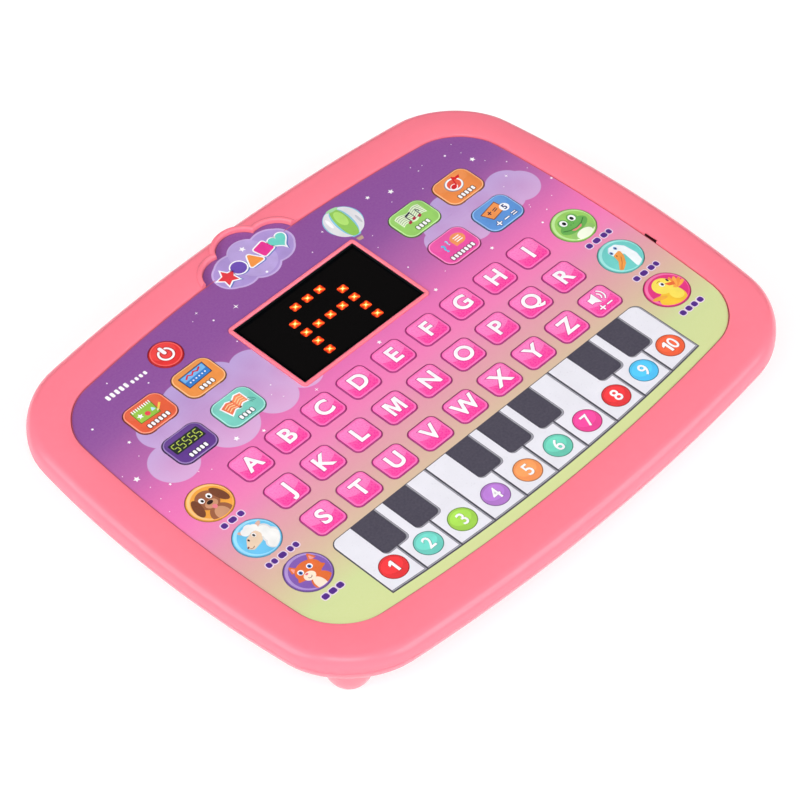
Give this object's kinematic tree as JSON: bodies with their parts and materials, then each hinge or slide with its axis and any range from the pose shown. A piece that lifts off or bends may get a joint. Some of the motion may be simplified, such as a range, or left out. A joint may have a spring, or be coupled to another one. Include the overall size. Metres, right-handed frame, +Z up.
{
  "type": "kids toy tablet",
  "caption": "Electronic learning tablet for children: bowed pink casing, printed film face with letter, piano and animal keys, LED matrix display, battery bay behind.",
  "frame": {"origin": "under the middle of the body, on the plane the feet stand on", "axes": "+X to the reader's right along the key rows, +Y towards the top edge with the cloud badge, +Z up out of the key face"},
  "size_m": [0.2446, 0.191, 0.0273],
  "materials": {
    "casing_plastic": "moulded, soft gloss",
    "overlay_film": "printed polyester film, satin gloss",
    "membrane": "translucent film with printed tracks",
    "display_cover": "smoked, polished",
    "led_block": "moulded black light guide",
    "circuit_board": "solder-mask green",
    "speaker_body": "paper cone and steel basket, black",
    "contact_metal": "nickel-plated spring steel",
    "screw_metal": "zinc plated",
    "key_pink": "printed and embossed film",
    "piano_white": "printed and embossed film",
    "power_red": "printed and embossed film",
    "mode_print": "printed and embossed film in several colours",
    "animal_print": "printed and embossed film in several colours"
  },
  "bodies": {
    "casing": {"front_casing": "casing_plastic", "rear_casing": "casing_plastic", "graphic_overlay": "overlay_film", "membrane_circuit": "membrane", "display_window": "display_cover", "led_matrix": "led_block", "main_board": "circuit_board", "speaker": "speaker_body", "battery_contact_positive": "contact_metal", "battery_contact_negative": "contact_metal", "battery_link_left": "contact_metal", "battery_link_right": "contact_metal", "casing_screw_1": "screw_metal", "casing_screw_2": "screw_metal", "casing_screw_3": "screw_metal", "casing_screw_4": "screw_metal"},
    "battery_door": {"battery_door": "casing_plastic"},
    "battery_door_screw": {"battery_door_screw": "screw_metal"},
    "key_a": {"key_a": "key_pink"},
    "key_b": {"key_b": "key_pink"},
    "key_c": {"key_c": "key_pink"},
    "key_d": {"key_d": "key_pink"},
    "key_e": {"key_e": "key_pink"},
    "key_f": {"key_f": "key_pink"},
    "key_g": {"key_g": "key_pink"},
    "key_h": {"key_h": "key_pink"},
    "key_i": {"key_i": "key_pink"},
    "key_j": {"key_j": "key_pink"},
    "key_k": {"key_k": "key_pink"},
    "key_l": {"key_l": "key_pink"},
    "key_m": {"key_m": "key_pink"},
    "key_n": {"key_n": "key_pink"},
    "key_o": {"key_o": "key_pink"},
    "key_p": {"key_p": "key_pink"},
    "key_q": {"key_q": "key_pink"},
    "key_r": {"key_r": "key_pink"},
    "key_s": {"key_s": "key_pink"},
    "key_t": {"key_t": "key_pink"},
    "key_u": {"key_u": "key_pink"},
    "key_v": {"key_v": "key_pink"},
    "key_w": {"key_w": "key_pink"},
    "key_x": {"key_x": "key_pink"},
    "key_y": {"key_y": "key_pink"},
    "key_z": {"key_z": "key_pink"},
    "key_volume": {"key_volume": "key_pink"},
    "piano_key_1": {"piano_key_1": "piano_white"},
    "piano_key_2": {"piano_key_2": "piano_white"},
    "piano_key_3": {"piano_key_3": "piano_white"},
    "piano_key_4": {"piano_key_4": "piano_white"},
    "piano_key_5": {"piano_key_5": "piano_white"},
    "piano_key_6": {"piano_key_6": "piano_white"},
    "piano_key_7": {"piano_key_7": "piano_white"},
    "piano_key_8": {"piano_key_8": "piano_white"},
    "piano_key_9": {"piano_key_9": "piano_white"},
    "piano_key_10": {"piano_key_10": "piano_white"},
    "power_key": {"power_key": "power_red"},
    "mode_keys_left": {"mode_keys_left": "mode_print"},
    "mode_keys_right": {"mode_keys_right": "mode_print"},
    "animal_keys_left": {"animal_keys_left": "animal_print"},
    "animal_keys_right": {"animal_keys_right": "animal_print"}
  },
  "joints": [
    {"name": "battery_door_lift", "type": "slide", "parent": "casing", "child": "battery_door", "axis": [0, 0, -1], "range_m": [0, 0.03]},
    {"name": "battery_door_screw_turn", "type": "hinge", "parent": "battery_door", "child": "battery_door_screw", "pos_m": [0.0385, -0.02285, 0.005], "axis": [0, 0, 1], "continuous": true},
    {"name": "key_a_press", "type": "slide", "parent": "casing", "child": "key_a", "axis": [0, 0, -1], "range_m": [0, 0.0004], "stiffness_N_per_m": 1500},
    {"name": "key_b_press", "type": "slide", "parent": "casing", "child": "key_b", "axis": [0, 0, -1], "range_m": [0, 0.0004], "stiffness_N_per_m": 1500},
    {"name": "key_c_press", "type": "slide", "parent": "casing", "child": "key_c", "axis": [0, 0, -1], "range_m": [0, 0.0004], "stiffness_N_per_m": 1500},
    {"name": "key_d_press", "type": "slide", "parent": "casing", "child": "key_d", "axis": [0, 0, -1], "range_m": [0, 0.0004], "stiffness_N_per_m": 1500},
    {"name": "key_e_press", "type": "slide", "parent": "casing", "child": "key_e", "axis": [0, 0, -1], "range_m": [0, 0.0004], "stiffness_N_per_m": 1500},
    {"name": "key_f_press", "type": "slide", "parent": "casing", "child": "key_f", "axis": [0, 0, -1], "range_m": [0, 0.0004], "stiffness_N_per_m": 1500},
    {"name": "key_g_press", "type": "slide", "parent": "casing", "child": "key_g", "axis": [0, 0, -1], "range_m": [0, 0.0004], "stiffness_N_per_m": 1500},
    {"name": "key_h_press", "type": "slide", "parent": "casing", "child": "key_h", "axis": [0, 0, -1], "range_m": [0, 0.0004], "stiffness_N_per_m": 1500},
    {"name": "key_i_press", "type": "slide", "parent": "casing", "child": "key_i", "axis": [0, 0, -1], "range_m": [0, 0.0004], "stiffness_N_per_m": 1500},
    {"name": "key_j_press", "type": "slide", "parent": "casing", "child": "key_j", "axis": [0, 0, -1], "range_m": [0, 0.0004], "stiffness_N_per_m": 1500},
    {"name": "key_k_press", "type": "slide", "parent": "casing", "child": "key_k", "axis": [0, 0, -1], "range_m": [0, 0.0004], "stiffness_N_per_m": 1500},
    {"name": "key_l_press", "type": "slide", "parent": "casing", "child": "key_l", "axis": [0, 0, -1], "range_m": [0, 0.0004], "stiffness_N_per_m": 1500},
    {"name": "key_m_press", "type": "slide", "parent": "casing", "child": "key_m", "axis": [0, 0, -1], "range_m": [0, 0.0004], "stiffness_N_per_m": 1500},
    {"name": "key_n_press", "type": "slide", "parent": "casing", "child": "key_n", "axis": [0, 0, -1], "range_m": [0, 0.0004], "stiffness_N_per_m": 1500},
    {"name": "key_o_press", "type": "slide", "parent": "casing", "child": "key_o", "axis": [0, 0, -1], "range_m": [0, 0.0004], "stiffness_N_per_m": 1500},
    {"name": "key_p_press", "type": "slide", "parent": "casing", "child": "key_p", "axis": [0, 0, -1], "range_m": [0, 0.0004], "stiffness_N_per_m": 1500},
    {"name": "key_q_press", "type": "slide", "parent": "casing", "child": "key_q", "axis": [0, 0, -1], "range_m": [0, 0.0004], "stiffness_N_per_m": 1500},
    {"name": "key_r_press", "type": "slide", "parent": "casing", "child": "key_r", "axis": [0, 0, -1], "range_m": [0, 0.0004], "stiffness_N_per_m": 1500},
    {"name": "key_s_press", "type": "slide", "parent": "casing", "child": "key_s", "axis": [0, 0, -1], "range_m": [0, 0.0004], "stiffness_N_per_m": 1500},
    {"name": "key_t_press", "type": "slide", "parent": "casing", "child": "key_t", "axis": [0, 0, -1], "range_m": [0, 0.0004], "stiffness_N_per_m": 1500},
    {"name": "key_u_press", "type": "slide", "parent": "casing", "child": "key_u", "axis": [0, 0, -1], "range_m": [0, 0.0004], "stiffness_N_per_m": 1500},
    {"name": "key_v_press", "type": "slide", "parent": "casing", "child": "key_v", "axis": [0, 0, -1], "range_m": [0, 0.0004], "stiffness_N_per_m": 1500},
    {"name": "key_w_press", "type": "slide", "parent": "casing", "child": "key_w", "axis": [0, 0, -1], "range_m": [0, 0.0004], "stiffness_N_per_m": 1500},
    {"name": "key_x_press", "type": "slide", "parent": "casing", "child": "key_x", "axis": [0, 0, -1], "range_m": [0, 0.0004], "stiffness_N_per_m": 1500},
    {"name": "key_y_press", "type": "slide", "parent": "casing", "child": "key_y", "axis": [0, 0, -1], "range_m": [0, 0.0004], "stiffness_N_per_m": 1500},
    {"name": "key_z_press", "type": "slide", "parent": "casing", "child": "key_z", "axis": [0, 0, -1], "range_m": [0, 0.0004], "stiffness_N_per_m": 1500},
    {"name": "key_volume_press", "type": "slide", "parent": "casing", "child": "key_volume", "axis": [0, 0, -1], "range_m": [0, 0.0004], "stiffness_N_per_m": 1500},
    {"name": "piano_key_1_press", "type": "slide", "parent": "casing", "child": "piano_key_1", "axis": [0, 0, -1], "range_m": [0, 0.0004], "stiffness_N_per_m": 1500},
    {"name": "piano_key_2_press", "type": "slide", "parent": "casing", "child": "piano_key_2", "axis": [0, 0, -1], "range_m": [0, 0.0004], "stiffness_N_per_m": 1500},
    {"name": "piano_key_3_press", "type": "slide", "parent": "casing", "child": "piano_key_3", "axis": [0, 0, -1], "range_m": [0, 0.0004], "stiffness_N_per_m": 1500},
    {"name": "piano_key_4_press", "type": "slide", "parent": "casing", "child": "piano_key_4", "axis": [0, 0, -1], "range_m": [0, 0.0004], "stiffness_N_per_m": 1500},
    {"name": "piano_key_5_press", "type": "slide", "parent": "casing", "child": "piano_key_5", "axis": [0, 0, -1], "range_m": [0, 0.0004], "stiffness_N_per_m": 1500},
    {"name": "piano_key_6_press", "type": "slide", "parent": "casing", "child": "piano_key_6", "axis": [0, 0, -1], "range_m": [0, 0.0004], "stiffness_N_per_m": 1500},
    {"name": "piano_key_7_press", "type": "slide", "parent": "casing", "child": "piano_key_7", "axis": [0, 0, -1], "range_m": [0, 0.0004], "stiffness_N_per_m": 1500},
    {"name": "piano_key_8_press", "type": "slide", "parent": "casing", "child": "piano_key_8", "axis": [0, 0, -1], "range_m": [0, 0.0004], "stiffness_N_per_m": 1500},
    {"name": "piano_key_9_press", "type": "slide", "parent": "casing", "child": "piano_key_9", "axis": [0, 0, -1], "range_m": [0, 0.0004], "stiffness_N_per_m": 1500},
    {"name": "piano_key_10_press", "type": "slide", "parent": "casing", "child": "piano_key_10", "axis": [0, 0, -1], "range_m": [0, 0.0004], "stiffness_N_per_m": 1500},
    {"name": "power_key_press", "type": "slide", "parent": "casing", "child": "power_key", "axis": [0, 0, -1], "range_m": [0, 0.0004], "stiffness_N_per_m": 1500},
    {"name": "mode_keys_left_press", "type": "slide", "parent": "casing", "child": "mode_keys_left", "axis": [0, 0, -1], "range_m": [0, 0.0004], "stiffness_N_per_m": 1500},
    {"name": "mode_keys_right_press", "type": "slide", "parent": "casing", "child": "mode_keys_right", "axis": [0, 0, -1], "range_m": [0, 0.0004], "stiffness_N_per_m": 1500},
    {"name": "animal_keys_left_press", "type": "slide", "parent": "casing", "child": "animal_keys_left", "axis": [0, 0, -1], "range_m": [0, 0.0004], "stiffness_N_per_m": 1500},
    {"name": "animal_keys_right_press", "type": "slide", "parent": "casing", "child": "animal_keys_right", "axis": [0, 0, -1], "range_m": [0, 0.0004], "stiffness_N_per_m": 1500}
  ]
}
